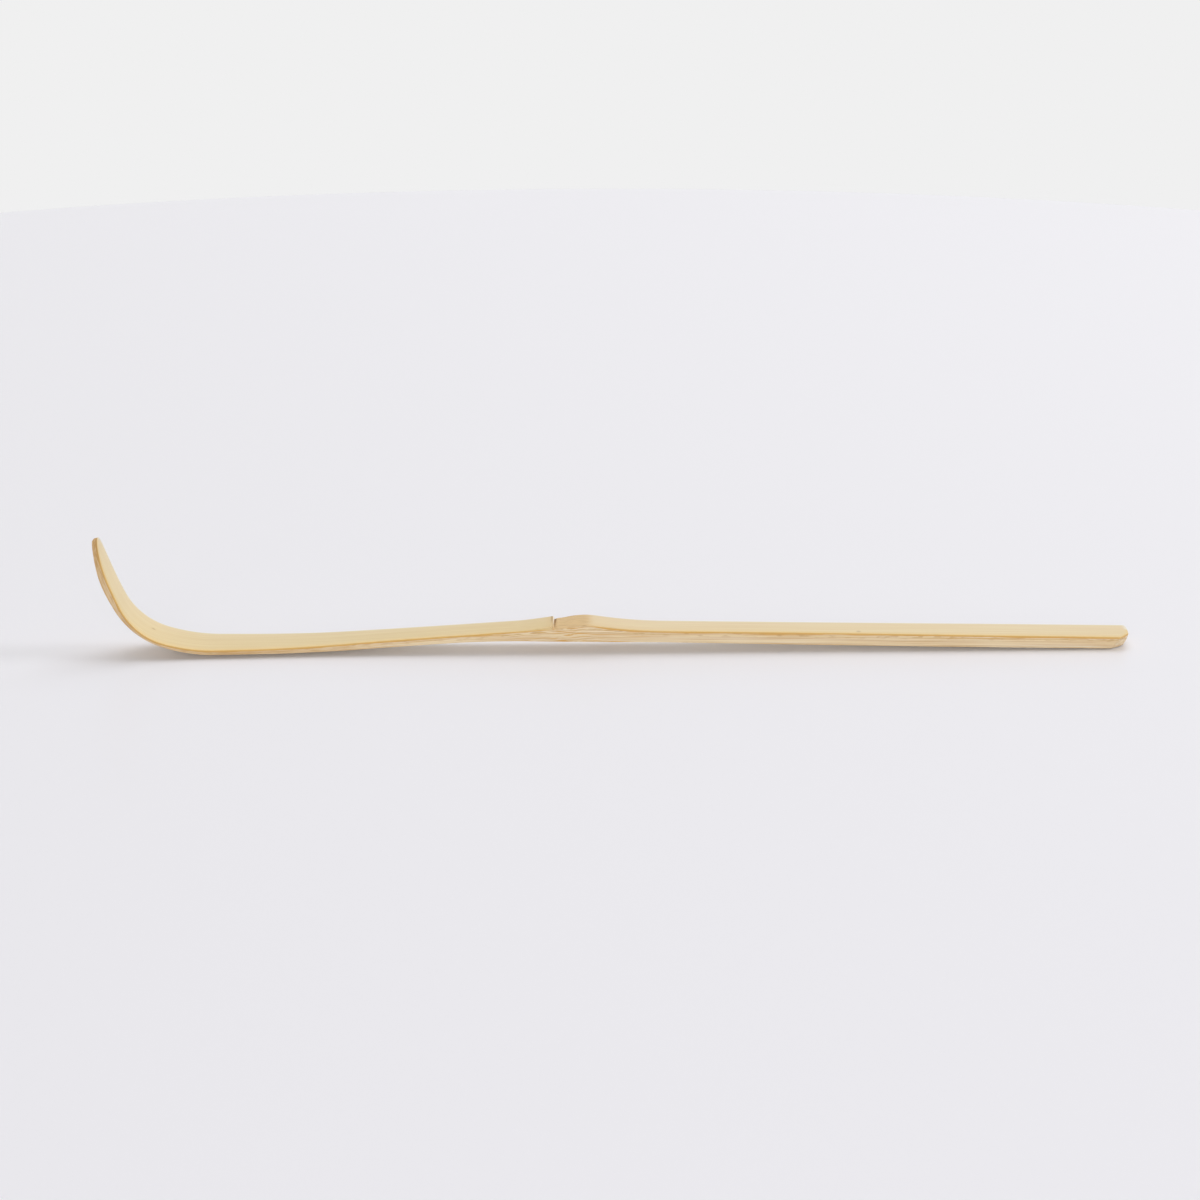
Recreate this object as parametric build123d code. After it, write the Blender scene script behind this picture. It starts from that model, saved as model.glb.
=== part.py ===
from build123d import *
import os
from math import atan2, degrees, radians, tan

# Tea scoop: one strip of bamboo, carved with its skin side up and bent over heat into a scoop.
# Millimetres and degrees. +X runs from the scoop to the handle end, +Y across, +Z up.
# The strip rests on z = 0 with the sole of its bend and the underside of its handle end.

# Curve of the scoop in side view: arcs from the sole up to the tip
heel_start = 4.2
heel_radius = 31.0
heel_turn = 17.2
bend_radius = 11.9
bend_turn = 47.4
blade_radius = 64.0
blade_turn = 10.5

# Line between skin and wood from the sole to the cut end: straights, and the reach of each rounded corner
sole_straight = 1.0
neck_reach = 9.0
neck_straight = 35.6
neck_slope = 3.62
scar_reach = 1.0
band_straight = 0.6
ridge_swell = 0.76
ridge_reach = 2.4
flare_straight = 0.4
waist_reach = 5.7
handle_straight = 81.6
handle_slope = 0.92

# Underside: flats at the sole and at the handle end, and the arch between them
sole_front = 5.0
sole_back = 12.0
sole_reach = 7.5
throat_share = 0.78
throat_rise = 1.84
throat_reach = 7.0
node_rise = 1.5
node_reach = 5.0
waist_rise = 1.37
grip_share = 0.37
grip_rise = 0.72
grip_reach = 10.0
foot_length = 6.0
foot_reach = 1.0

# Thickness at mid-width, skin and wood together
tip_thickness = 1.1
blade_thickness = 1.58
shank_thickness = 1.5
bend_thickness = 1.18
heel_thickness = 1.34
sole_thickness = 1.35
butt_thickness = 2.33
skin = 0.25

# Width across the strip
tip_length = 6.0
tip_share = 0.32
tip_width = 5.1
shoulder_width = 7.65
blade_width = 8.5
scoop_width = 10.6
scoop_taper = 0.1
sole_width = 9.9
neck_share = 0.45
neck_width = 7.45
throat_width = 7.05
ridge_width = 6.7
waist_width = 6.6
grip_width = 6.65
butt_width = 7.55

# Crown of the skin, lip at the sheath scar, cut end
culm_radius = 30.0
lip_height = 0.36
lip_length = 6.0
end_radius = 8.5
end_undercut = 1.75


def rounded_line(corners, reaches):
    """Lines from corner to corner, with a tangent arc over each inner corner."""
    edges = []
    start = Vector(corners[0])
    for before, corner, after, reach in zip(corners, corners[1:], corners[2:], reaches):
        arriving = (Vector(corner) - Vector(before)).normalized()
        leaving = (Vector(after) - Vector(corner)).normalized()
        arc_start = Vector(corner) - arriving * reach
        arc_end = Vector(corner) + leaving * reach
        edges.append(Line(start, arc_start))
        edges.append(TangentArc(arc_start, arc_end, tangent=arriving))
        start = arc_end
    edges.append(Line(start, corners[-1]))
    return edges


def turned_back(arc):
    """The same arc, run from its end to its start."""
    return ThreePointArc(arc @ 1, arc @ 0.5, arc @ 0)


def below(arc, share, thickness):
    """Point on the underside, straight through the strip from this place on the spine."""
    return arc @ share + (arc % share).rotate(Axis.Z, 90) * (thickness - skin)


# Spine: the line between skin and wood at mid-width, in side view with the sole at x = 0
sole_height = sole_thickness - skin
butt_height = butt_thickness - skin
neck_x = sole_straight + neck_reach
scar_x = neck_x + neck_reach + neck_straight + scar_reach
ridge_x = scar_x + scar_reach + band_straight + ridge_reach
waist_x = ridge_x + ridge_reach + flare_straight + waist_reach
end_x = waist_x + waist_reach + handle_straight
foot_x = end_x - foot_length
clear_x = end_x + foot_length
scar_height = sole_height + tan(radians(neck_slope)) * (scar_x - neck_x)
ridge_height = scar_height + ridge_swell
waist_height = butt_height + tan(radians(handle_slope)) * (end_x - waist_x)
clear_height = butt_height + tan(radians(handle_slope)) * (end_x - clear_x)

heel = JernArc((-heel_start, sole_height), (-1, 0), heel_radius, -heel_turn)
bend = JernArc(heel @ 1, heel % 1, bend_radius, -bend_turn)
blade = JernArc(bend @ 1, bend % 1, blade_radius, -blade_turn)
back_corners = [
    (-heel_start, sole_height),
    (neck_x, sole_height),
    (scar_x, scar_height),
    (ridge_x, ridge_height),
    (waist_x, waist_height),
    (clear_x, clear_height),
]
back = rounded_line(back_corners, [neck_reach, scar_reach, ridge_reach, waist_reach])
above_tip = Line(blade @ 1 + (blade % 1) * tip_length, blade @ 1)
spine = Plane.XZ * Wire([above_tip, turned_back(blade), turned_back(bend), turned_back(heel)] + back)
heel_x = (heel @ 1).X
heel_height = (heel @ 1).Y
blade_height = (bend @ 1).Y
tip_height = (blade @ 1).Y

# Crowned bodies of wood and of skin swept along the spine, wider and deeper than the strip
section_plane = Plane(origin=spine @ 0, x_dir=(0, 1, 0), z_dir=spine % 0)
culm = Pos(0, -culm_radius) * Circle(culm_radius)
culm_skin = Pos(0, skin - culm_radius) * Circle(culm_radius)
blank_width = 1.25 * scoop_width
wood_section = Rectangle(blank_width, ridge_height, align=(Align.CENTER, Align.MAX)) & culm
skin_section = Rectangle(blank_width, 2 * ridge_height) & culm_skin - culm
wood_blank = sweep(section_plane * wood_section, path=spine)
skin_blank = sweep(section_plane * skin_section, path=spine)

# Side view: everything above the carved underside
throat_x = throat_share * scar_x
grip_x = waist_x + grip_share * (end_x - waist_x)
arch_corners = [
    (-sole_front, 0),
    (sole_back, 0),
    (throat_x, throat_rise),
    (ridge_x, node_rise),
    (waist_x + waist_reach, waist_rise),
    (grip_x, grip_rise),
    (foot_x, 0),
    (clear_x, 0),
]
arch = rounded_line(arch_corners, [sole_reach, throat_reach, node_reach, node_reach, grip_reach, foot_reach])
tip_back = below(blade, 1, tip_thickness)
scoop_back = Spline(
    tip_back,
    below(blade, 0.5, blade_thickness),
    below(bend, 1, shank_thickness),
    below(bend, 0.5, bend_thickness),
    below(heel, 1, bend_thickness),
    below(heel, 0.5, heel_thickness),
    (-sole_front, 0),
    tangents=[(blade % 1) * -1, (1, 0)],
)
ceiling = 2 * tip_height
over_top = Polyline((clear_x, 0), (clear_x, ceiling), (tip_back.X, ceiling), tip_back)
side_slab = Plane.XZ * extrude(make_face([scoop_back] + arch + [over_top]), 2 * scoop_width, both=True)

# Plan: the width from the scoop to the handle end
plan_side = Spline(
    (heel_x, scoop_width / 2),
    (0, sole_width / 2),
    (neck_share * scar_x, neck_width / 2),
    (throat_x, throat_width / 2),
    (ridge_x, ridge_width / 2),
    (waist_x + waist_reach, waist_width / 2),
    (grip_x, grip_width / 2),
    (end_x, butt_width / 2),
    tangents=[(1, 0), (1, 0)],
)
plan_scoop = Polyline((-end_x, 0), (-end_x, scoop_width / 2), (heel_x, scoop_width / 2))
plan_end = Polyline((end_x, butt_width / 2), (clear_x, butt_width / 2), (clear_x, 0))
plan_half = make_face([plan_scoop, plan_side, plan_end, Line((clear_x, 0), (-end_x, 0))])
plan_slab = extrude(plan_half + mirror(plan_half, Plane.XZ), ceiling)

# Front view: the width up the blade to its rounded tip
front_side = Spline(
    (scoop_width / 2, heel_height),
    (blade_width / 2, blade_height),
    (shoulder_width / 2, tip_height - tip_length),
    (tip_width / 2, tip_height - tip_share * tip_length),
    (0, tip_height),
    tangents=[(-scoop_taper, 1), (-1, 0)],
)
front_foot = (scoop_width / 2 + scoop_taper * heel_height, 0)
front_rest = Polyline((0, tip_height), (0, 0), front_foot, (scoop_width / 2, heel_height))
front_half = make_face([front_side, front_rest])
front_slab = Plane.YZ * extrude(front_half + mirror(front_half, Plane.YZ), 2 * end_x, both=True)

# Cut end: rounded in plan and cut back underneath with one slanting stroke
end_centre = Pos(end_x - end_radius, 0)
end_block = Rectangle(4 * end_radius, 4 * end_radius, align=(Align.MIN, Align.CENTER))
end_outside = end_centre * (end_block - Circle(end_radius))
stroke = Vector(end_undercut, 0, butt_thickness)
end_waste = Solid.extrude((Pos(end_undercut, 0, 2 * butt_thickness) * end_outside).face(), stroke * -3)
strip = plan_slab & front_slab - end_waste
inner_wood = side_slab & strip & wood_blank

# Skin parted at the sheath scar and at the nodal ridge, with the lip that stands up at the scar
scar_face = scar_x - scar_reach
lip_x = scar_face - lip_length
lip_z = sole_height + skin + tan(radians(neck_slope)) * (lip_x - neck_x)
lip_angle = neck_slope + degrees(atan2(lip_height, lip_length))
lip_along = Vector(1, 0, 0).rotate(Axis.Y, -lip_angle)
lip_plane = Plane(origin=(lip_x, 0, lip_z), x_dir=(0, 1, 0), z_dir=lip_along)
lip = extrude(lip_plane * wood_section, 2 * lip_length) - wood_blank
scar_plane = Plane.YZ.offset(scar_face)
ridge_plane = Plane.YZ.offset(ridge_x)
scoop_rind = split(skin_blank + lip, scar_plane, Keep.BOTTOM) & strip
node_band = split(split(skin_blank, scar_plane, Keep.TOP), ridge_plane, Keep.BOTTOM) & strip
handle_rind = split(skin_blank, ridge_plane, Keep.TOP) & strip

pieces = {
    "inner_wood": inner_wood,
    "scoop_rind": scoop_rind,
    "node_band": node_band,
    "handle_rind": handle_rind,
}
extent = Compound([solid for shape in pieces.values() for solid in shape.solids()]).bounding_box()
to_middle = Pos(-(extent.min.X + extent.max.X) / 2, 0, 0)

os.makedirs("parts", exist_ok=True)
for name, shape in pieces.items():
    export_step(to_middle * shape, f"parts/{name}.step")
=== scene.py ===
import math
from bisect import bisect_right

import bmesh
import bpy
from bpy.props import FloatProperty, FloatVectorProperty, PointerProperty
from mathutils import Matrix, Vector, noise


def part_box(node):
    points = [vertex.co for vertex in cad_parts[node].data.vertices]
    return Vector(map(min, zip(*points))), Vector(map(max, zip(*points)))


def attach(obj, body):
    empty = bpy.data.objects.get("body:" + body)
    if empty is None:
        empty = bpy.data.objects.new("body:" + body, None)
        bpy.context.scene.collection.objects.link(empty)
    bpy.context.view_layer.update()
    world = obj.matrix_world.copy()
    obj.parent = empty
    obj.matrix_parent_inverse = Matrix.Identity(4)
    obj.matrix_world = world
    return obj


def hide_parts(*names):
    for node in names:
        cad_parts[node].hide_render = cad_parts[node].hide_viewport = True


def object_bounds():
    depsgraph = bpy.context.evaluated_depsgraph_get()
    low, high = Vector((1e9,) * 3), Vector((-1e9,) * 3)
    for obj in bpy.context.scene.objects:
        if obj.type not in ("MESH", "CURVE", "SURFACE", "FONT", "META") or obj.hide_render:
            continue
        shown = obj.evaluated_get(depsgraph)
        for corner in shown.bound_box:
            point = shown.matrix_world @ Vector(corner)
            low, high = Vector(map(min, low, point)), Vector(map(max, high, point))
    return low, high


bl_info = {
    "name": "Bamboo tea scoop",
    "version": (1, 0, 0),
    "blender": (4, 5, 0),
    "location": "View3D > Sidebar > Tea scoop",
    "description": "Carves a bamboo tea scoop as a flat strip, bends it over its CAD frame and lights it",
    "category": "Add Mesh",
}

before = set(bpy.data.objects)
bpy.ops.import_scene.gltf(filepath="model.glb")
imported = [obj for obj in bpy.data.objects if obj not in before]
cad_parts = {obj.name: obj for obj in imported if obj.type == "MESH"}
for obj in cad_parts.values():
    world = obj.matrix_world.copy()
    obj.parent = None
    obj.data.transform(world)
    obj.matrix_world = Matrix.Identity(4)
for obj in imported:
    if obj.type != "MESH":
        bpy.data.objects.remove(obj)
cad_low, cad_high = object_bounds()

MM = 0.001


def metres(*rows):
    """Rows of millimetres as rows of metres."""
    return tuple(tuple(value * MM for value in row) for row in rows)


def linear(code, alpha=1.0):
    """Linear colour of an sRGB hex code."""
    channels = [int(code[place:place + 2], 16) / 255 for place in (1, 3, 5)]
    return [c / 12.92 if c <= 0.04045 else ((c + 0.055) / 1.055) ** 2.4 for c in channels] + [alpha]


# Line between skin and wood past the sole: distance from the sole, height, reach of the eased corner
BACK_LINE = metres(
    (-4.2, 1.10, 0),
    (10, 1.10, 9),
    (55.6, 3.985, 1),
    (59.6, 4.745, 2.4),
    (68.1, 3.482, 5.7),
    (161.4, 1.984, 0),
)
# Carved underside, in the same three columns
UNDERSIDE = metres(
    (-5, 0, 0),
    (12, 0, 7.5),
    (43.37, 1.84, 7),
    (59.6, 1.5, 5),
    (73.8, 1.37, 5),
    (100.4, 0.72, 10),
    (149.4, 0, 1),
    (161.4, 0, 0),
)
# Thickness of the scoop from its tip to the front of the sole: distance from the tip, skin and wood together
SCOOP_THICKNESS = metres(
    (0, 1.00),
    (2.5, 1.22),
    (5.9, 1.56),
    (9, 1.62),
    (11.7, 1.45),
    (16.7, 1.18),
    (21.6, 1.18),
    (26.2, 1.33),
    (29.9, 1.37),
)
# Half the width: distance from the tip, half width
HALF_WIDTHS = metres(
    (0, 0.02),
    (0.3, 1.05),
    (1.3, 2.10),
    (3, 3.04),
    (6, 3.79),
    (11.7, 4.25),
    (16.7, 4.96),
    (21.6, 5.30),
    (26.2, 5.26),
    (35.1, 4.95),
    (45.2, 4.41),
    (51.4, 4.08),
    (61.4, 3.69),
    (79.5, 3.51),
    (96, 3.34),
    (116, 3.29),
    (136.5, 3.33),
    (172, 3.70),
    (190.5, 3.775),
)
SCAR_FROM_SOLE = 54.6 * MM
SOLE_FRONT = UNDERSIDE[0][0]
# Stretch past the sole in which the strip swells at its node
SWELLING_START = 40 * MM
SWELLING_STOP = 85 * MM

# Hand work: lengths over which each thing wavers, and a seed that tells its noise from the others
SIDE_WAVE = 9 * MM
SIDE_SEED = 3.1
STROKE_LENGTH = 11 * MM
STROKE_WIDTH = 2.6 * MM
STROKE_SEED = 1.3
SCAR_WAVE = 1.3 * MM
SCAR_SEED = 5.5
FIBRE_LENGTH = 2.5 * MM
FIBRE_WIDTH = 0.3 * MM
FIBRE_SEED = 7.7
SWIRL_LENGTH = 3.2 * MM
SWIRL_WIDTH = 1.7 * MM
SWIRL_DEPTH = 0.8 * MM
SWIRL_SEED = 31.7
DIP_SEED = 47.3
# The swirl of the fibres lies mostly before the node, and fades over its reach to both sides
SWIRL_BEFORE_NODE = 2.5 * MM
SWIRL_REACH = 9 * MM
# Half the width from which on the knife wavers in full
WAVER_HALF = 3 * MM
# Stretch at the sole and at the handle end that the knife leaves flat
FLAT_REST = 8 * MM
# Share of the half width at which the facet at the near corner of the cut end starts
FACET_START = 0.5
# The lip rises along a curve of this power, and its bevelled end loses this share of its height
LIP_POWER = 1.3
LIP_LOSS = 0.9
# Distance from the ridge over which the relief of the bare fibres fades
RELIEF_FADE = 1.5 * MM

# Zones of the materials: how fast the signs of a cut edge (with the painted sheen along the far one) and of
# the blade (its browning and its painted light) fade in the skin
CUT_FADE = 0.5 * MM
BLADE_FADE = 12 * MM
# Browning of the wood over the heat: strength and fade at the tip, strength, run and reach at the bend
TIP_HEAT = 0.9
TIP_HEAT_FADE = 16 * MM
BEND_HEAT = 0.5
BEND_HEAT_RUN = 28 * MM
BEND_HEAT_REACH = 19 * MM

# Steps between the rings of a mesh: at its ends, and at most along the strip and on the node band
END_STEP = 0.02 * MM
STRIP_STEP = 0.6 * MM
NODE_STEP = 0.15 * MM
# Growth of the steps with the distance from the nearer end
STEP_GROWTH = 0.25
# Edges that turn further than this look sharp
SHARP_TURN = math.radians(38)

# Small marks in the skin of the scoop and of the handle: distance from the tip, across, depth
SCOOP_SPECK, HANDLE_SPECK = metres((19.3, -0.8, 0), (142.8, -2.6, 0))
# Distance from the node at which the skin starts, and at which it is whole
SKIN_START = 2.9 * MM
SKIN_WHOLE = 5.2 * MM
# Share of the node's swelling that the fibres under it don't follow
FIBRES_STRAIGHT = 0.85
# Strength of the fibres' fine relief
FIBRE_BUMP = 0.4
BARE_ROUGHNESS = 0.66
SKIN_ROUGHNESS = 0.46
WOOD_ROUGHNESS = 0.62

# Table top, in metres: round behind the strip and run on past the camera in front
TABLE_RADIUS = 0.405
TABLE_CENTRE = (0.0, 0.25, 0.0)
TABLE_RUN_ON = (0.0, -3.0, 0.0)
TABLE_ROUGHNESS = 0.36

# Soft square lamps: power setting, place and side in metres, linear tint
LAMPS = {
    "back lamp": ("back_power", (0.25, 1.45, 2.3), 2.3, (0.965, 0.985, 1.0)),
    "key lamp": ("key_power", (1.2, 0.06, 0.7), 0.5, (1.0, 0.995, 0.985)),
    "fill lamp": ("fill_power", (-0.15, -1.5, 0.4), 0.8, (1.0, 0.975, 0.945)),
}
SKY_TINT = (1.0, 0.975, 0.945, 1.0)


def length(name, description, millimetres):
    """Property for a length."""
    return FloatProperty(
        name=name, description=description, default=millimetres * MM, unit="LENGTH", precision=5
    )


def angle(name, description, degrees):
    """Property for an angle."""
    return FloatProperty(name=name, description=description, default=math.radians(degrees), subtype="ANGLE")


def power(name, description, watts):
    """Property for the power of a lamp."""
    return FloatProperty(name=name, description=description, default=watts, unit="POWER")


def hex_colour(name, description, code):
    """Property for a colour, given as an sRGB hex code."""
    return FloatVectorProperty(
        name=name, description=description, default=linear(code), size=4, min=0, max=1, subtype="COLOR"
    )


class TeaScoopSizes(bpy.types.PropertyGroup):
    """Sizes of the strip's curve, of its layers and of its finer forms"""

    heel_start: length("Heel start", "Distance from the middle of the sole to the start of the heel", 4.2)
    heel_radius: length("Heel radius", "Radius of the flat curve between the sole and the bend", 31)
    heel_turn: angle("Heel turn", "Turn of the heel", 17.2)
    bend_radius: length("Bend radius", "Radius of the tight heat bend", 11.9)
    bend_turn: angle("Bend turn", "Turn of the heat bend", 47.4)
    blade_radius: length("Blade radius", "Radius of the upright blade", 64)
    blade_turn: angle("Blade turn", "Turn of the blade", 10.5)
    skin: length("Skin", "Thickness of the bamboo's skin", 0.25)
    crown_radius: length("Crown radius", "Radius of the culm that the strip was split from", 30)
    skin_rounding: length("Skin rounding", "Radius of the skin's worn edges", 0.12)
    node_rounding: length("Node rounding", "Radius of the bare node's edges", 0.22)
    wood_rounding: length("Wood rounding", "Radius of the strip's lower edges", 0.20)
    tip_rounding: length("Tip rounding", "Radius of the back of the tip", 0.4)
    lip_height: length("Lip height", "Height of the lip at the sheath scar", 0.42)
    lip_length: length("Lip length", "Distance over which the lip rises", 6)
    lip_bevel: length("Lip bevel", "Width of the slanting face at the end of the lip", 0.26)
    lip_waver: length("Lip waver", "How far the scar's line wavers", 0.08)
    lip_skew: length("Lip skew", "How far the scar's line slants from the middle to the far edge", 0.16)
    groove_depth: length("Groove depth", "Depth of the groove behind the lip", 0.19)
    groove_width: length("Groove width", "Width of the groove behind the lip", 0.34)
    fibre_relief: length("Fibre relief", "Height of the bare fibres on the node", 0.035)
    fibre_wander: length("Fibre wander", "How far the fibres swirl at the node", 0.42)
    knife_waver: length("Knife waver", "Waver of the knife along the sides and the underside", 0.035)
    end_reach: length("End reach", "Length of strip that is drawn in to shape the cut end", 8.5)
    end_slant: length("End slant", "How far the cut end slants back from its middle to the near edge", 0.35)
    end_corner: length("End corners", "How far the corners of the cut end are rounded back", 0.23)
    end_facet: length("End facet", "How far one more stroke of the knife cuts back the near corner", 1.2)
    end_undercut: length("End undercut", "How far the end is cut back underneath", 0.7)
    end_pared: length("End pared", "How far its corners are pared away more underneath", 1.1)
    end_rounding: length("End rounding", "Radius of the cut end's edges", 0.16)


class TeaScoopColours(bpy.types.PropertyGroup):
    """Colours of the bamboo and of the stage"""

    handle_pale: hex_colour("Handle skin", "Skin of the handle", "#E9D8B1")
    handle_deep: hex_colour("Handle skin fibres", "Deeper fibres in the handle's skin", "#E0C79D")
    # Painted light: the blade's skin is painted paler for the light that falls on it from the right
    blade_painted_light: hex_colour("Blade skin", "Skin of the upright blade", "#F1DEB5")
    scoop_pale: hex_colour("Scoop skin", "Skin of the scoop", "#E7D4A9")
    scoop_deep: hex_colour("Scoop skin fibres", "Deeper fibres in the scoop's skin", "#DCC391")
    cut_gold: hex_colour("Cut skin", "Dense golden fibres where the skin is cut", "#DCB164")
    warm_rim: hex_colour("Warm rim", "Skin worn thin beside its near cut edge", "#E9CC90")
    # Painted sheen: the skin along its far cut edge is painted pale, as if it caught the light
    far_rim_sheen: hex_colour("Pale rim", "Skin polished beside its far cut edge", "#EEE6DA")
    # Painted highlight: the lip's slanting end face is painted pale, as if lit from the right
    lip_face_highlight: hex_colour("Lip face", "Clean slanting face at the end of the lip", "#F6ECD8")
    wood_light: hex_colour("Light wood", "Palest lines in the wood", "#F0E3C9")
    wood_pale: hex_colour("Inner wood", "Pale wood under the skin", "#EBD6B0")
    wood_tan: hex_colour("Wood streaks", "Tan fibres in the wood", "#D5B588")
    wood_gold: hex_colour("Wood under the skin", "Golden wood next to the skin", "#D3A04A")
    bare_tan: hex_colour("Bare node", "Bare wood between scar and ridge", "#DFC090")
    # The node's dark brown is also painted into the groove behind the lip as painted shade
    bare_brown: hex_colour("Node fibres", "Dark fibres and dust in the node's groove", "#8B6A45")
    toast: hex_colour("Heated wood", "Wood browned over the heat at the scoop", "#BE955E")
    speck: hex_colour("Speck", "Small mark in the skin", "#A98347")
    floor: hex_colour("Floor", "Pale table top", "#EEEFF8")
    glow: hex_colour("Floor glow", "Part of the floor's look that takes no shadow", "#F0E4D4")
    backdrop: hex_colour("Backdrop", "Pale wall behind the table", "#F0F0F0")


class TeaScoopStage(bpy.types.PropertyGroup):
    """Camera, light and table top"""

    distance: length("Camera distance", "Distance from the camera to the point that it looks at", 480)
    elevation: angle("Camera elevation", "Height of the camera above the horizon", 15.5)
    azimuth: angle("Camera azimuth", "Turn of the camera round the object", -1.0)
    focal: FloatProperty(
        name="Lens", description="Focal length in millimetres", default=82.37, subtype="DISTANCE_CAMERA"
    )
    target: FloatVectorProperty(
        name="Camera target",
        description="Point that the camera looks at",
        default=(-2.39 * MM, 0.0, 8.18 * MM),
        subtype="TRANSLATION",
        precision=5,
    )
    back_power: power("Back light", "Power of the lamp behind", 46)
    key_power: power("Key light", "Power of the lamp on the right", 5.2)
    fill_power: power("Fill light", "Power of the lamp in front", 10.3)
    sky: FloatProperty(name="Sky", description="Strength of the even light from all round", default=0.3)
    glow: FloatProperty(
        name="Glow",
        description="Share of the floor's look that takes no shadow",
        default=0.14,
        subtype="FACTOR",
    )
    floor_drop: length("Floor drop", "How far the table top lies below the strip at mid-length", 0.45)
    floor_tilt: angle("Floor tilt", "Tilt of the table top, lower under the scoop", 0.15)


class SmoothCurve:
    """Smooth curve through (place, value) stations."""

    def __init__(self, stations):
        self.places = [place for place, _ in stations]
        self.values = [value for _, value in stations]
        spans = [b - a for a, b in zip(self.places, self.places[1:])]
        rises = [(b - a) / span for a, b, span in zip(self.values, self.values[1:], spans)]
        inner = [
            (rise * after + next_rise * before) / (before + after)
            for rise, next_rise, before, after in zip(rises, rises[1:], spans, spans[1:])
        ]
        self.slopes = [rises[0]] + inner + [rises[-1]]

    def at(self, place):
        """Value at a place."""
        index = min(max(bisect_right(self.places, place) - 1, 0), len(self.places) - 2)
        span = self.places[index + 1] - self.places[index]
        t = (place - self.places[index]) / span
        return (
            self.values[index] * (1 + 2 * t) * (1 - t) ** 2
            + self.values[index + 1] * (3 - 2 * t) * t ** 2
            + self.slopes[index] * span * t * (1 - t) ** 2
            + self.slopes[index + 1] * span * t ** 2 * (t - 1)
        )


def height_on(corners, place):
    """Height of a line through corners, each inner corner eased over its reach to both sides."""
    rises = [(b[1] - a[1]) / (b[0] - a[0]) for a, b in zip(corners, corners[1:])]
    index = sum(place > corner[0] for corner in corners[1:-1])
    height = corners[index][1] + rises[index] * (place - corners[index][0])
    for corner, before, after in zip(corners[1:-1], rises, rises[1:]):
        spare = corner[2] - abs(place - corner[0])
        if spare > 0:
            height += (after - before) * spare ** 2 / (4 * corner[2])
    return height


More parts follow.
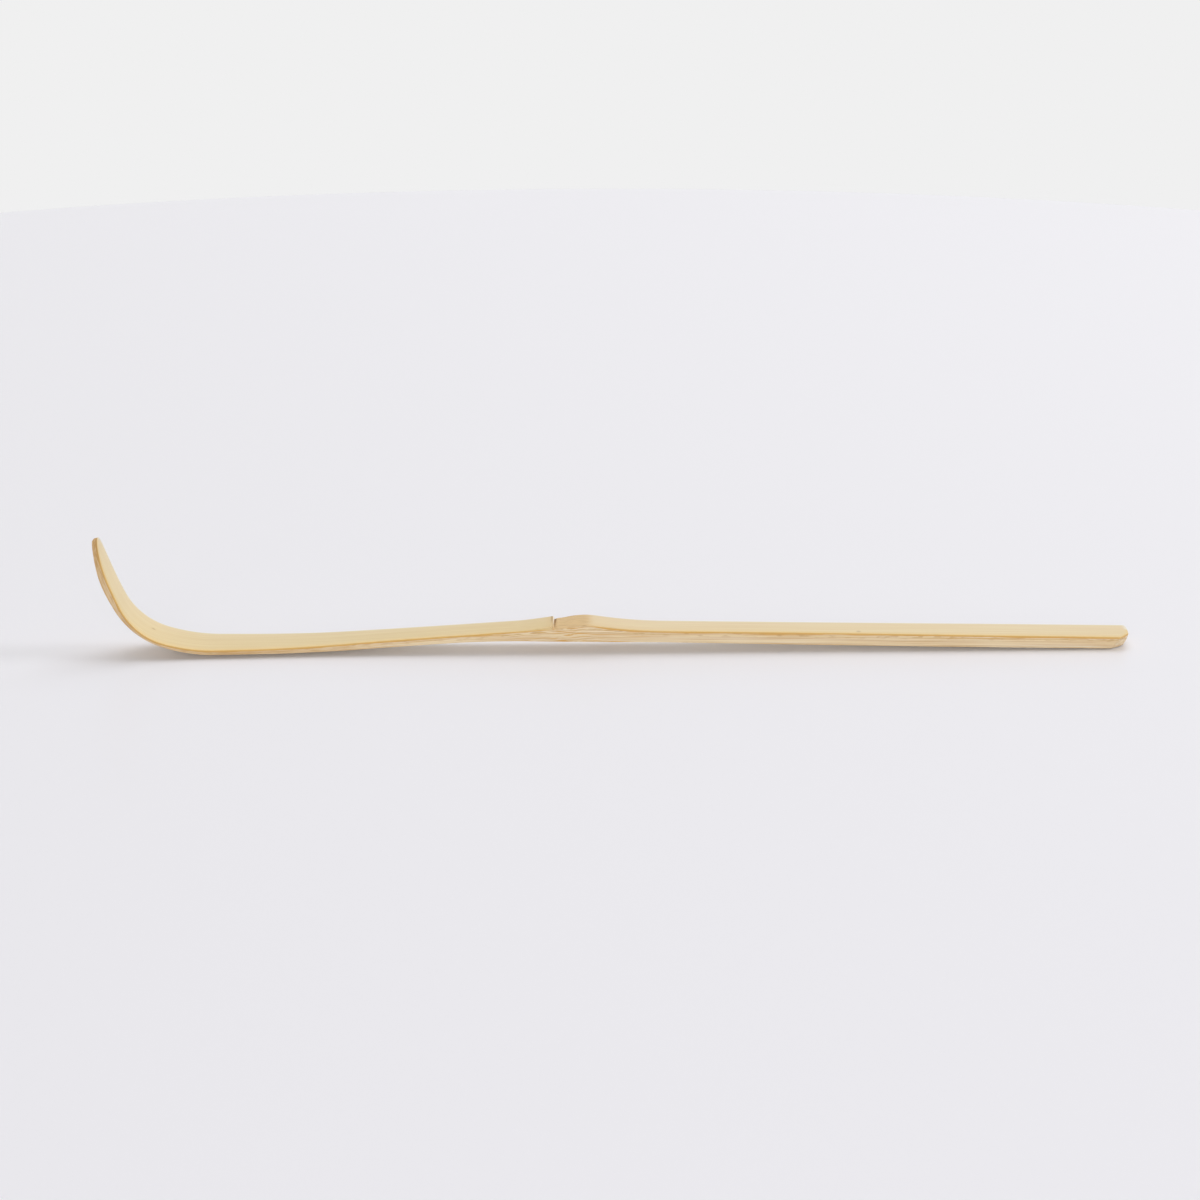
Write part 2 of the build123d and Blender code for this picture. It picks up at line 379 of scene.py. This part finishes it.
class BentStrip:
    """The strip once it is bent: where a point of the flat, carved strip comes to lie.

    A run is the distance from the tip along the line between skin and wood. Up to the heel's start that line
    follows the three arcs of the scoop, and past it the run counts along x, because the line is nearly level.
    """

    def __init__(self, sizes):
        self.sizes = sizes
        self.arcs = []
        from_heel, tilt, x, z = 0.0, 0.0, -sizes.heel_start, BACK_LINE[0][1]
        for radius, turn in (
            (sizes.heel_radius, sizes.heel_turn),
            (sizes.bend_radius, sizes.bend_turn),
            (sizes.blade_radius, sizes.blade_turn),
        ):
            self.arcs.append((from_heel, radius, tilt, x, z))
            x -= radius * (math.sin(tilt + turn) - math.sin(tilt))
            z += radius * (math.cos(tilt) - math.cos(tilt + turn))
            from_heel += radius * turn
            tilt += turn
        band_low, band_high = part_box("node_band")
        self.heel_run = from_heel
        self.sole_run = from_heel + sizes.heel_start
        self.sole_x = band_low.x - SCAR_FROM_SOLE
        self.scar_run = self.sole_run + SCAR_FROM_SOLE
        self.ridge_run = self.scar_run + band_high.x - band_low.x
        self.node_run = (self.scar_run + self.ridge_run) / 2
        self.end_run = self.sole_run + cad_high.x - self.sole_x
        self.thickness = SmoothCurve(SCOOP_THICKNESS)
        self.widths = SmoothCurve([(math.sqrt(run), half) for run, half in HALF_WIDTHS])

    def spine(self, run):
        """Distance from the sole, height and tilt of the line between skin and wood."""
        back = self.heel_run - run
        if back <= 0:
            x = run - self.sole_run
            return x, height_on(BACK_LINE, x), 0.0
        start, radius, tilt, x, z = [arc for arc in self.arcs if arc[0] <= back][-1]
        turned = tilt + (back - start) / radius
        x -= radius * (math.sin(turned) - math.sin(tilt))
        z += radius * (math.cos(tilt) - math.cos(turned))
        return x, z, turned

    def swelling(self, run):
        """How far the strip swells at the node above fibres that run on straight."""
        x = run - self.sole_run
        if not SWELLING_START < x < SWELLING_STOP:
            return 0.0
        first, last = height_on(BACK_LINE, SWELLING_START), height_on(BACK_LINE, SWELLING_STOP)
        share = (x - SWELLING_START) / (SWELLING_STOP - SWELLING_START)
        return height_on(BACK_LINE, x) - first - (last - first) * share

    def point(self, run, across, lift):
        """Place of a point of the flat strip after bending."""
        x, z, tilt = self.spine(run)
        return Vector((self.sole_x + x + lift * math.sin(tilt), across, z + lift * math.cos(tilt)))

    def half_width(self, run):
        """Half the width, with the waver of the knife along it."""
        waver = self.sizes.knife_waver * noise.noise(Vector((run / SIDE_WAVE, SIDE_SEED, 0)))
        half = self.widths.at(math.sqrt(max(run, 0)))
        return half + waver * min(1, half / WAVER_HALF)

    def crown(self, across):
        """Fall of the skin's round from the middle of the strip."""
        return math.sqrt(self.sizes.crown_radius ** 2 - across ** 2) - self.sizes.crown_radius

    def underside(self, run):
        """Lift of the carved underside, below the line between skin and wood."""
        if run < self.sole_run + SOLE_FRONT:
            return self.sizes.skin - self.thickness.at(run)
        x, z, tilt = self.spine(run)
        return (height_on(UNDERSIDE, x) - z) / math.cos(tilt)

    def cut_end(self, point):
        """The point drawn on to the cut end, which has a facet at its near corner and is undercut."""
        sizes = self.sizes
        start = cad_high.x - sizes.end_reach
        if point.x <= start:
            return point
        side = point.y / HALF_WIDTHS[-1][1]
        below = max(0.0, 1 - point.z / (BACK_LINE[-1][1] + sizes.skin))
        facet = sizes.end_facet * max(0.0, -side - FACET_START) / (1 - FACET_START)
        corner = sizes.end_corner * side ** 4 - sizes.end_slant * side + facet
        under = sizes.end_undercut * below ** 2 + sizes.end_pared * below * side ** 2
        drawn_in = corner + under
        share = (point.x - start) / sizes.end_reach
        return Vector((start + share * (sizes.end_reach - drawn_in), point.y, point.z))

    def wander(self, run, across, depth):
        """How far fibres stray from straight lines: they swirl at the node."""
        near = math.exp(-(((run - self.node_run + SWIRL_BEFORE_NODE) / SWIRL_REACH) ** 2))
        place = Vector((run / SWIRL_LENGTH, across / SWIRL_WIDTH, depth / SWIRL_DEPTH))
        sideways = noise.noise(place + Vector((SWIRL_SEED, 0, 0)))
        down = noise.noise(place + Vector((0, DIP_SEED, 0)))
        return Vector((0, sideways, down)) * (near * self.sizes.fibre_wander)


def ring_runs(start, stop, coarse):
    """Runs of the rings of a piece: close together at both ends, coarse between them.

    The last step is up to half a step longer, so that none is too short.
    """
    runs = [start]
    while True:
        nearest = min(runs[-1] - start, stop - runs[-1])
        step = min(coarse, END_STEP + STEP_GROWTH * max(nearest, 0.0))
        if runs[-1] + 1.5 * step >= stop:
            return runs + [stop]
        runs.append(runs[-1] + step)


def cut_block(rings, columns, rows):
    """Block that is one unit in size, cut into rings along x, columns along y and rows along z."""
    mesh = bmesh.new()
    bmesh.ops.create_cube(mesh, size=1.0)
    for axis, count in enumerate((rings, columns, rows)):
        whole = [edge for edge in mesh.edges if abs(edge.verts[0].co[axis] - edge.verts[1].co[axis]) > 0.9]
        bmesh.ops.subdivide_edges(mesh, edges=whole, cuts=count - 1, use_grid_fill=True)
    return mesh


def toward_edges(side):
    """Share of the half width for evenly numbered columns, closer together towards both edges."""
    crowd = 0.45 * math.pi
    return math.sin(crowd * side) / math.sin(crowd)


def quarter_round(beyond_side, beyond_face):
    """Corner of a square, 0 to 1 both ways, drawn in to a quarter of a circle."""
    return (
        beyond_side * math.sqrt(1 - beyond_face ** 2 / 2),
        beyond_face * math.sqrt(1 - beyond_side ** 2 / 2),
    )


def rounded_off(radius, distance):
    """How far a rounded edge of this radius draws in, at a distance from the edge."""
    into = max(0.0, radius - distance)
    return radius - math.sqrt(max(0.0, radius ** 2 - into ** 2))


def skin_relief(strip, node, run, across):
    """Height that the skin or the bare node gains or loses on its plain thickness."""
    sizes = strip.sizes
    if node == "scoop_rind":
        before = strip.scar_run - run
        risen = max(0.0, 1 - before / sizes.lip_length)
        bevelled = max(0.0, 1 - before / sizes.lip_bevel)
        return sizes.lip_height * (risen ** LIP_POWER - LIP_LOSS * bevelled)
    if node == "node_band":
        from_scar = (run - strip.scar_run) / sizes.groove_width
        from_ridge = (strip.ridge_run - run) / RELIEF_FADE
        fibre = noise.noise(Vector((run / FIBRE_LENGTH, across / FIBRE_WIDTH, FIBRE_SEED)))
        lasting = min(1.0, from_ridge) * min(1.0, from_scar)
        return sizes.fibre_relief * fibre * lasting - sizes.groove_depth * math.exp(-from_scar ** 2)
    return 0.0


def skin_point(strip, node, run, side, depth):
    """Flat place and zones of a point of the skin: depth runs from 0 at the surface to 1 on the wood."""
    sizes = strip.sizes
    inset = rounded_off(sizes.end_rounding, strip.end_run - run)
    half = strip.half_width(run) - inset
    across = half * toward_edges(side)
    thickness = sizes.skin - inset + skin_relief(strip, node, run, across)
    from_edge = half - abs(across)
    rounding = sizes.node_rounding if node == "node_band" else sizes.skin_rounding
    radius = min(rounding, 0.5 * half, 0.9 * thickness)
    beyond_side = 1 - from_edge / radius
    beyond_top = 1 - depth * thickness / radius
    lift = strip.crown(across) + thickness * (1 - depth)
    if beyond_side > 0 and beyond_top > 0:
        drawn_side, drawn_top = quarter_round(beyond_side, beyond_top)
        across += math.copysign(radius * (drawn_side - beyond_side), across)
        lift += radius * (drawn_top - beyond_top)
    cut = math.exp(-min(from_edge, run, strip.end_run - run) / CUT_FADE)
    if node == "scoop_rind":
        waver = sizes.lip_waver * noise.noise(Vector((across / SCAR_WAVE, SCAR_SEED, 0)))
        shift = waver + sizes.lip_skew * (across / half - 1)
        run += shift * math.exp(-((strip.scar_run - run) / MM) ** 2)
    return run, across, lift, (cut, math.exp(-run / BLADE_FADE), 0.0)


def wood_point(strip, _, run, side, depth):
    """Flat place and zones of a point of the wood: depth runs from 0 under the skin to 1 on the underside."""
    sizes = strip.sizes
    inset = rounded_off(sizes.end_rounding, strip.end_run - run)
    half = strip.half_width(run) - inset
    across = half * toward_edges(side)
    bed = strip.crown(across)
    stroke = noise.noise(Vector((run / STROKE_LENGTH, across / STROKE_WIDTH, STROKE_SEED)))
    foot = strip.underside(run) + inset + rounded_off(sizes.tip_rounding, run)
    if strip.sole_run + FLAT_REST < run < strip.end_run - FLAT_REST:
        foot += sizes.knife_waver * stroke
    lift = bed + (foot - bed) * (1 - (1 - depth) ** 2)
    from_edge = half - abs(across)
    radius = min(sizes.wood_rounding, 0.5 * half, 0.45 * (bed - foot))
    beyond_side = 1 - from_edge / radius
    beyond_foot = 1 - (lift - foot) / radius
    if beyond_side > 0 and beyond_foot > 0:
        drawn_side, drawn_foot = quarter_round(beyond_side, beyond_foot)
        across += math.copysign(radius * (drawn_side - beyond_side), across)
        lift -= radius * (drawn_foot - beyond_foot)
    tip_heat = TIP_HEAT * math.exp(-run / TIP_HEAT_FADE)
    bend_heat = BEND_HEAT * math.exp(-(((run - BEND_HEAT_RUN) / BEND_HEAT_REACH) ** 2))
    return run, across, lift, (1.0, tip_heat + bend_heat, strip.swelling(run))


def carve(strip, node, start, stop, shape, columns, rows, coarse=STRIP_STEP):
    """Carve one layer of the strip flat, note where its fibres run, and bend it."""
    runs = ring_runs(start, stop, coarse)
    mesh = cut_block(len(runs) - 1, columns, rows)
    grain = mesh.verts.layers.float_vector.new("grain")
    zones = mesh.verts.layers.float_vector.new("zones")
    for vert in mesh.verts:
        ring = round((vert.co.x + 0.5) * (len(runs) - 1))
        run, across, lift, zone = shape(strip, node, runs[ring], 2 * vert.co.y, 0.5 - vert.co.z)
        depth = strip.crown(across) + strip.sizes.skin - lift
        vert[grain] = Vector((run, across, depth)) + strip.wander(run, across, depth)
        vert[zones] = Vector(zone)
        vert.co = strip.cut_end(strip.point(run, across, lift))
    bmesh.ops.recalc_face_normals(mesh, faces=mesh.faces)
    data = bpy.data.meshes.new(node)
    mesh.to_mesh(data)
    mesh.free()
    data.shade_smooth()
    data.set_sharp_from_angle(angle=SHARP_TURN)
    piece = bpy.data.objects.new(f"{node}_carved", data)
    bpy.context.scene.collection.objects.link(piece)
    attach(piece, "root")
    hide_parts(node)
    return piece


def plug(tree, node, inputs):
    """Link or set the inputs of a shader node, which are given by socket or in order."""
    for socket, value in inputs.items() if isinstance(inputs, dict) else enumerate(inputs):
        if isinstance(value, bpy.types.NodeSocket):
            tree.links.new(value, node.inputs[socket])
        else:
            node.inputs[socket].default_value = value


def add_node(tree, kind, inputs=(), output=0, **settings):
    """Add a shader node with its settings and inputs, and give one of its outputs."""
    node = tree.nodes.new(kind)
    for name, value in settings.items():
        setattr(node, name, value)
    plug(tree, node, inputs)
    return node.outputs[output]


def product_of(tree, *factors):
    """Product of factors: values, or tuples of a value, its low and high, and what these are eased to."""
    product = 1.0
    for factor in factors:
        if isinstance(factor, tuple):
            factor = add_node(tree, "ShaderNodeMapRange", factor, interpolation_type="SMOOTHSTEP")
        product = add_node(tree, "ShaderNodeMath", (product, factor), operation="MULTIPLY")
    return product


def lay_over(tree, colour, over, *factors):
    """Colour with another laid over it, in a share that is the product of the factors."""
    inputs = {0: product_of(tree, *factors), 6: colour, 7: over}
    return add_node(tree, "ShaderNodeMix", inputs, 2, data_type="RGBA")


def pattern(tree, grain, sizes, detail):
    """Noise whose features have these sizes in millimetres along, across and down through the strip."""
    scale = [1 / (size * MM) for size in sizes]
    place = add_node(tree, "ShaderNodeVectorMath", (grain, scale), operation="MULTIPLY")
    return add_node(tree, "ShaderNodeTexNoise", {"Vector": place, "Scale": 1.0, "Detail": detail}, "Fac")


def distance_from(tree, value, place):
    """Distance of a value from a place, to either side."""
    past = add_node(tree, "ShaderNodeMath", (value, place), operation="SUBTRACT")
    return add_node(tree, "ShaderNodeMath", (past,), operation="ABSOLUTE")


def attribute(tree, name):
    """Vector that the carving left on each point of a piece, and its three parts."""
    vector = add_node(tree, "ShaderNodeAttribute", output="Vector", attribute_name=name)
    parts = [add_node(tree, "ShaderNodeSeparateXYZ", (vector,), axis) for axis in "XYZ"]
    return vector, *parts


def new_material(name):
    """Material and its node tree."""
    material = bpy.data.materials.new(name)
    material.use_nodes = True
    return material, material.node_tree


def finish_material(material, colour, height, bump_height, roughness):
    """Give the shader its colour, its fine relief and its gloss."""
    tree = material.node_tree
    relief = {"Strength": FIBRE_BUMP, "Distance": bump_height, "Height": height}
    bump = add_node(tree, "ShaderNodeBump", relief)
    inputs = {"Base Color": colour, "Normal": bump, "Roughness": roughness}
    plug(tree, tree.nodes["Principled BSDF"], inputs)
    return material


def bare_wood(tree, grain, run, colours, strip):
    """Colour and fibres of bare wood at the node: tan with short brown fibres, darker over the ridge."""
    fibre = pattern(tree, grain, (4.5, 0.22, 0.22), 4.0)
    cloud = pattern(tree, grain, (2.6, 1.2, 1.2), 2.0)
    from_ridge = distance_from(tree, run, strip.ridge_run)
    colour = lay_over(tree, colours.bare_tan, colours.bare_brown, (fibre, 0.45, 0.75, 0.0, 0.4))
    over_ridge = (from_ridge, 1.3 * MM, 0.1 * MM, 0.0, 0.08)
    colour = lay_over(tree, colour, colours.bare_brown, over_ridge, (cloud, 0.35, 0.6, 0.65, 1.0))
    return colour, fibre


def skin_material(name, pale, deep, colours, strip, bareness, speck):
    # Bamboo skin, dried and bleached in the sun, then rubbed by hand: a satin straw surface with hair-fine
    # fibres along it, golden where it is cut, bare and duller beside the node.
    material, tree = new_material(name)
    grain, run, across, depth = attribute(tree, "grain")
    _, cut_edge, blade_and_heat_zone, _ = attribute(tree, "zones")
    fine = pattern(tree, grain, (22, 0.24, 0.24), 3.0)
    broad = pattern(tree, grain, (45, 1.9, 1.9), 2.0)
    from_node = distance_from(tree, run, strip.node_run)
    colour = lay_over(tree, pale, deep, (fine, 0.36, 0.66, 0.1, 0.8))
    colour = lay_over(tree, colour, deep, (broad, 0.42, 0.70, 0.0, 0.4))
    # Painted light: the skin of the blade is painted paler, as if lit from the right
    colour = lay_over(tree, colour, colours.blade_painted_light, (blade_and_heat_zone, 0.08, 0.5, 0.0, 0.6))
    # Along the near cut edge the skin is warm where it is worn thin; along the far one it is painted pale as
    # a painted sheen
    rim = lay_over(tree, colours.warm_rim, colours.far_rim_sheen, (across, -0.5 * MM, 0.5 * MM))
    colour = lay_over(tree, colour, rim, (cut_edge, 0.08, 0.7, 0.0, 0.8))
    colour = lay_over(tree, colour, deep, (from_node, 20 * MM, 4 * MM, 0.0, 0.6))
    # The cut edge shows its dense golden fibres below the surface, browned at the tip
    whole = (from_node, SKIN_START, SKIN_WHOLE)
    cut = product_of(tree, (cut_edge, 0.80, 0.94), (depth, 0.05 * MM, 0.14 * MM), whole)
    colour = lay_over(tree, colour, colours.cut_gold, cut)
    colour = lay_over(tree, colour, colours.toast, cut, (blade_and_heat_zone, 0.55, 1.0))
    # The fine fibres make the skin end raggedly beside the node
    ragged = add_node(tree, "ShaderNodeMath", (fine, 3 * MM, from_node), operation="MULTIPLY_ADD")
    bare = product_of(tree, (ragged, 6.1 * MM, 4.2 * MM, 0.0, bareness))
    colour = lay_over(tree, colour, bare_wood(tree, grain, run, colours, strip)[0], bare)
    away = add_node(tree, "ShaderNodeVectorMath", (grain, speck), "Value", operation="DISTANCE")
    colour = lay_over(tree, colour, colours.speck, (away, 0.1 * MM, 0.6 * MM, 0.4, 0.0))
    roughness = product_of(tree, (bare, 0.0, 1.0, SKIN_ROUGHNESS, BARE_ROUGHNESS))
    return finish_material(material, colour, fine, 0.02 * MM, roughness)


def colour_lip(material, colours, scar):
    # The lip at the sheath scar: a brown line along its top on the far half, and a painted highlight on the
    # slanting face at its end
    tree = material.node_tree
    base = tree.nodes["Principled BSDF"].inputs["Base Color"]
    _, run, across, _ = attribute(tree, "grain")
    line = (run, scar - 0.24 * MM, scar - 0.36 * MM), (run, scar - 0.75 * MM, scar - 0.4 * MM)
    # Painted highlight on the slanting face at the lip's end
    face = (run, scar - 0.27 * MM, scar - 0.2 * MM), (across, -3.0 * MM, -2.4 * MM)
    far_half = (across, -1.8 * MM, 0.8 * MM, 0.1, 0.65)
    colour = lay_over(tree, base.links[0].from_socket, colours.bare_brown, *line, far_half)
    tree.links.new(lay_over(tree, colour, colours.lip_face_highlight, *face), base)


def wood_material(colours, strip):
    # Bamboo wood, cut along the fibres with a knife: matt, with tan, pale and golden bundles of fibres that
    # show as long streaks on the sides and as dots on the cut end, dense and golden next to the skin, and
    # browned at the scoop.
    material, tree = new_material("knife-cut bamboo wood")
    grain, run, _, depth = attribute(tree, "grain")
    zones, _, blade_and_heat_zone, swelling = attribute(tree, "zones")
    # The fibres run on nearly straight under the swelling of the node
    lower = (0.0, 0.0, -FIBRES_STRAIGHT)
    fibres = add_node(tree, "ShaderNodeVectorMath", (zones, lower, grain), operation="MULTIPLY_ADD")
    streak = pattern(tree, fibres, (20, 0.5, 0.17), 3.0)
    light = pattern(tree, fibres, (25, 0.4, 0.13), 2.0)
    gold = pattern(tree, fibres, (12, 0.5, 0.19), 2.5)
    fleck = pattern(tree, fibres, (1.9, 0.6, 0.22), 1.0)
    colour = lay_over(tree, colours.wood_pale, colours.wood_tan, (streak, 0.36, 0.66))
    colour = lay_over(tree, colour, colours.wood_light, (light, 0.52, 0.66, 0.0, 0.7))
    # Golden bundles lie under the skin and all through the node
    under_skin = product_of(tree, (depth, 1.0 * MM, 0.35 * MM, 0.0, 0.8))
    in_node = product_of(tree, (swelling, 0.0, 1.0 * MM, 0.0, 0.9))
    golden = add_node(tree, "ShaderNodeMath", (under_skin, in_node), operation="MAXIMUM")
    colour = lay_over(tree, colour, colours.wood_gold, (gold, 0.52, 0.59), golden)
    upper = (depth, 1.3 * MM, 0.5 * MM)
    colour = lay_over(tree, colour, colours.toast, (fleck, 0.53, 0.64, 0.0, 0.5), upper)
    # The dense layer next to the skin has a ragged lower edge, and stops at the node
    ragged = add_node(tree, "ShaderNodeMath", (gold, 0.5 * MM, depth), operation="MULTIPLY_ADD")
    whole = (distance_from(tree, run, strip.node_run), SKIN_START, SKIN_WHOLE)
    dense = (ragged, 0.65 * MM, 0.54 * MM, 0.0, 0.95)
    colour = lay_over(tree, colour, colours.wood_gold, dense, whole)
    colour = lay_over(tree, colour, colours.toast, blade_and_heat_zone, (streak, 0.38, 0.64, 0.6, 0.95))
    return finish_material(material, colour, streak, 0.03 * MM, WOOD_ROUGHNESS)


def node_material(colours, strip):
    # Bare bamboo at the node, where the sheath fell off and no skin grew: matt tan with short brown fibres
    # that wander, and painted shade in the groove behind the lip.
    material, tree = new_material("bare bamboo node")
    grain, run, across, _ = attribute(tree, "grain")
    colour, fibre = bare_wood(tree, grain, run, colours, strip)
    # Painted shade in the groove behind the lip, along the scar's slant and fading at the near edge
    slant = product_of(tree, (across, -3.4 * MM, 3.4 * MM, 2 * strip.sizes.lip_skew, 0.0))
    straight = add_node(tree, "ShaderNodeMath", (run, slant), operation="ADD")
    groove = (straight, strip.scar_run + 0.52 * MM, strip.scar_run + 0.26 * MM)
    colour = lay_over(tree, colour, colours.bare_brown, groove, (across, -3.0 * MM, -1.8 * MM, 0.1, 0.95))
    return finish_material(material, colour, fibre, 0.04 * MM, BARE_ROUGHNESS)


class CarveInnerWood(bpy.types.Operator):
    """Carve the wood under the skin, from the tip of the scoop to the cut end"""

    bl_idname = "tea_scoop.carve_inner_wood"
    bl_label = "Carve inner wood"

    def execute(self, context):
        strip = BentStrip(context.scene.tea_scoop_sizes)
        wood = carve(strip, "inner_wood", 0.0, strip.end_run, wood_point, columns=28, rows=9)
        wood.data.materials.append(wood_material(context.scene.tea_scoop_colours, strip))
        return {"FINISHED"}


class CarveSkins(bpy.types.Operator):
    """Carve the skin of the scoop and the skin of the handle"""

    bl_idname = "tea_scoop.carve_skins"
    bl_label = "Carve skins"

    def execute(self, context):
        strip = BentStrip(context.scene.tea_scoop_sizes)
        colours = context.scene.tea_scoop_colours
        scoop = carve(strip, "scoop_rind", 0.0, strip.scar_run, skin_point, columns=40, rows=4)
        scoop_skin = skin_material(
            "bamboo skin of the scoop",
            colours.scoop_pale,
            colours.scoop_deep,
            colours,
            strip,
            bareness=0.45,
            speck=SCOOP_SPECK,
        )
        colour_lip(scoop_skin, colours, strip.scar_run)
        scoop.data.materials.append(scoop_skin)
        handle = carve(strip, "handle_rind", strip.ridge_run, strip.end_run, skin_point, columns=40, rows=4)
        handle_skin = skin_material(
            "bamboo skin of the handle",
            colours.handle_pale,
            colours.handle_deep,
            colours,
            strip,
            bareness=1.0,
            speck=HANDLE_SPECK,
        )
        handle.data.materials.append(handle_skin)
        return {"FINISHED"}


class CarveNodeBand(bpy.types.Operator):
    """Carve the bare band between the sheath scar and the nodal ridge"""

    bl_idname = "tea_scoop.carve_node_band"
    bl_label = "Carve node band"

    def execute(self, context):
        strip = BentStrip(context.scene.tea_scoop_sizes)
        start, stop = strip.scar_run, strip.ridge_run
        band = carve(strip, "node_band", start, stop, skin_point, columns=64, rows=4, coarse=NODE_STEP)
        band.data.materials.append(node_material(context.scene.tea_scoop_colours, strip))
        return {"FINISHED"}


def area_lamp(name, power, place, side, tint):
    """Soft square lamp that shines on the strip from a place, and is seen neither directly nor mirrored."""
    light = bpy.data.lights.new(name, "AREA")
    light.size = side
    light.energy = power
    light.color = tint
    lamp = bpy.data.objects.new(name, light)
    lamp.location = place
    lamp.rotation_euler = (-Vector(place)).to_track_quat("-Z", "Y").to_euler()
    lamp.visible_camera = False
    lamp.visible_glossy = False
    bpy.context.scene.collection.objects.link(lamp)


def seen_rays(tree):
    """1 for rays from the camera, from a mirror or through glass, and 0 for rays that carry light."""
    seen = 0.0
    for ray in ("Is Camera Ray", "Is Glossy Ray", "Is Transmission Ray"):
        path = add_node(tree, "ShaderNodeLightPath", output=ray)
        seen = add_node(tree, "ShaderNodeMath", (seen, path), operation="ADD", use_clamp=True)
    return seen


class SetStage(bpy.types.Operator):
    """Set up the pale table top, the soft light and the camera"""

    bl_idname = "tea_scoop.set_stage"
    bl_label = "Set stage"

    def execute(self, context):
        scene = context.scene
        stage = scene.tea_scoop_stage
        colours = scene.tea_scoop_colours
        self.lay_floor(scene, stage, colours)
        self.light_up(scene, stage, colours)
        self.place_camera(scene, stage)
        scene.view_settings.view_transform = "Standard"
        return {"FINISHED"}

    def lay_floor(self, scene, stage, colours):
        mesh = bmesh.new()
        bmesh.ops.create_circle(mesh, cap_ends=True, segments=256, radius=TABLE_RADIUS)
        front = [vert for vert in mesh.verts if vert.co.y < 0]
        bmesh.ops.translate(mesh, verts=mesh.verts, vec=TABLE_CENTRE)
        bmesh.ops.translate(mesh, verts=front, vec=TABLE_RUN_ON)
        for vert in mesh.verts:
            vert.co.z = vert.co.x * math.tan(stage.floor_tilt) - stage.floor_drop
        data = bpy.data.meshes.new("table_top")
        mesh.to_mesh(data)
        mesh.free()
        floor = bpy.data.objects.new("table_top", data)
        scene.collection.objects.link(floor)
        # Painted board: pale and satin, with a light shadow
        material, tree = new_material("pale painted board")
        board = tree.nodes["Principled BSDF"]
        plug(tree, board, {"Base Color": colours.floor, "Roughness": TABLE_ROUGHNESS})
        glow = add_node(tree, "ShaderNodeEmission", {"Color": colours.glow, "Strength": 1.0})
        share = product_of(tree, seen_rays(tree), stage.glow)
        look = add_node(tree, "ShaderNodeMixShader", (share, board.outputs[0], glow))
        plug(tree, tree.nodes["Material Output"], {"Surface": look})
        data.materials.append(material)

    def light_up(self, scene, stage, colours):
        for name, (setting, place, side, tint) in LAMPS.items():
            area_lamp(name, getattr(stage, setting), place, side, tint)
        world = bpy.data.worlds.new("even light")
        world.use_nodes = True
        tree = world.node_tree
        sky = tree.nodes["Background"]
        plug(tree, sky, {"Color": SKY_TINT, "Strength": stage.sky})
        backdrop = add_node(tree, "ShaderNodeBackground", {"Color": colours.backdrop, "Strength": 1.0})
        look = add_node(tree, "ShaderNodeMixShader", (seen_rays(tree), sky.outputs[0], backdrop))
        plug(tree, tree.nodes["World Output"], {"Surface": look})
        scene.world = world

    def place_camera(self, scene, stage):
        data = bpy.data.cameras.new("camera")
        data.lens = stage.focal
        data.clip_start = 0.01
        camera = bpy.data.objects.new("camera", data)
        back = Vector((
            math.sin(stage.azimuth) * math.cos(stage.elevation),
            -math.cos(stage.azimuth) * math.cos(stage.elevation),
            math.sin(stage.elevation),
        ))
        camera.location = Vector(stage.target) + back * stage.distance
        camera.rotation_euler = (-back).to_track_quat("-Z", "Y").to_euler()
        scene.collection.objects.link(camera)
        scene.camera = camera


class TeaScoopPanel(bpy.types.Panel):
    """Steps and settings of the tea scoop"""

    bl_idname = "VIEW3D_PT_tea_scoop"
    bl_label = "Tea scoop"
    bl_space_type = "VIEW_3D"
    bl_region_type = "UI"
    bl_category = "Tea scoop"

    def draw(self, context):
        for operator in OPERATORS:
            self.layout.operator(operator.bl_idname)
        for scene_name, group in GROUPS.items():
            box = self.layout.box()
            for name in group.__annotations__:
                box.prop(getattr(context.scene, scene_name), name)


GROUPS = {
    "tea_scoop_sizes": TeaScoopSizes,
    "tea_scoop_colours": TeaScoopColours,
    "tea_scoop_stage": TeaScoopStage,
}
OPERATORS = (CarveInnerWood, CarveSkins, CarveNodeBand, SetStage)


def register():
    for name, group in GROUPS.items():
        bpy.utils.register_class(group)
        setattr(bpy.types.Scene, name, PointerProperty(type=group))
    for operator in OPERATORS:
        bpy.utils.register_class(operator)
    bpy.utils.register_class(TeaScoopPanel)


def unregister():
    bpy.utils.unregister_class(TeaScoopPanel)
    for operator in reversed(OPERATORS):
        bpy.utils.unregister_class(operator)
    for name, group in GROUPS.items():
        delattr(bpy.types.Scene, name)
        bpy.utils.unregister_class(group)


def main():
    register()
    bpy.ops.tea_scoop.carve_inner_wood()
    bpy.ops.tea_scoop.carve_skins()
    bpy.ops.tea_scoop.carve_node_band()
    bpy.ops.tea_scoop.set_stage()


if __name__ == "__main__":
    main()
